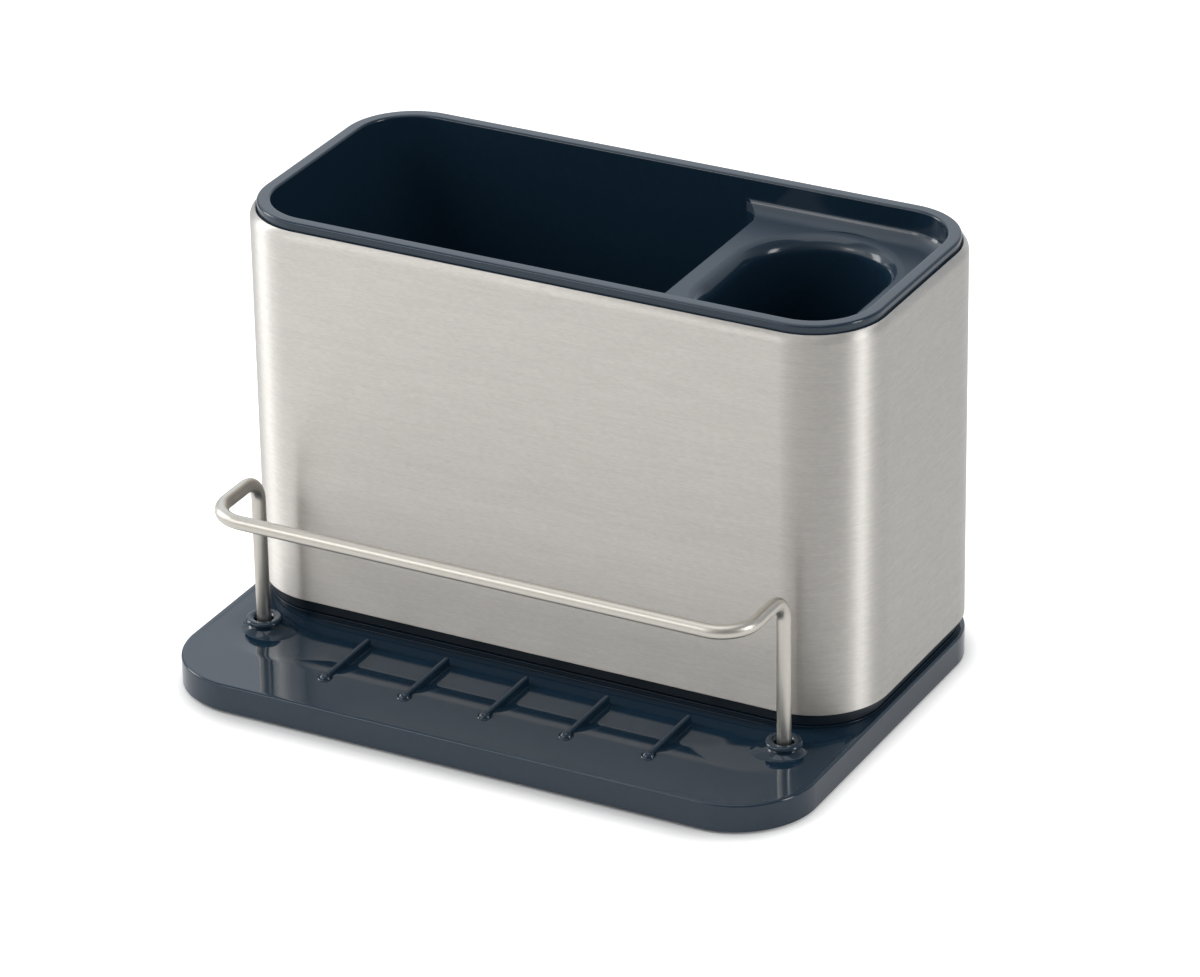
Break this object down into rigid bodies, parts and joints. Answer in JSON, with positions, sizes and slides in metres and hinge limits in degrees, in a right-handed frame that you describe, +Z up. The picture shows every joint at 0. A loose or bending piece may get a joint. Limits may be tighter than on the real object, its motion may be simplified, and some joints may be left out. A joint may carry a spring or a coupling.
{
  "type": "sink tidy",
  "caption": "Free-standing sink tidy: brushed steel sleeve with a lift-out plastic liner, long compartment and cup, on a ribbed drip tray with a wire towel rail.",
  "frame": {"origin": "on the worktop, under the middle of the drip tray, which is the middle of the whole object seen from above", "axes": "+X to the right along the width, the cup's end; -Y to the front, the towel rail's side; +Z up"},
  "size_m": [0.24, 0.169, 0.1592],
  "materials": {
    "tray_plastic": "gloss, dark blue-grey",
    "liner_plastic": "gloss, dark blue-grey",
    "base_plastic": "satin, dark blue-grey",
    "foot_rubber": "matt",
    "sleeve_steel": "fine horizontal brushing",
    "wire_steel": "satin drawn wire"
  },
  "bodies": {
    "tray": {"drip_tray": "tray_plastic", "foot_front_left": "foot_rubber", "foot_front_right": "foot_rubber", "foot_back_left": "foot_rubber", "foot_back_right": "foot_rubber"},
    "rail": {"towel_rail": "wire_steel"},
    "caddy": {"steel_sleeve": "sleeve_steel", "caddy_base": "base_plastic"},
    "liner": {"inner_liner": "liner_plastic"}
  },
  "joints": [
    {"name": "caddy_lift", "type": "slide", "parent": "tray", "child": "caddy", "axis": [0, 0, 1], "range_m": [0, 0.06]},
    {"name": "liner_lift", "type": "slide", "parent": "caddy", "child": "liner", "axis": [0, 0, 1], "range_m": [0, 0.15]},
    {"name": "rail_lift", "type": "slide", "parent": "tray", "child": "rail", "axis": [0, 0, 1], "range_m": [0, 0.03]}
  ]
}
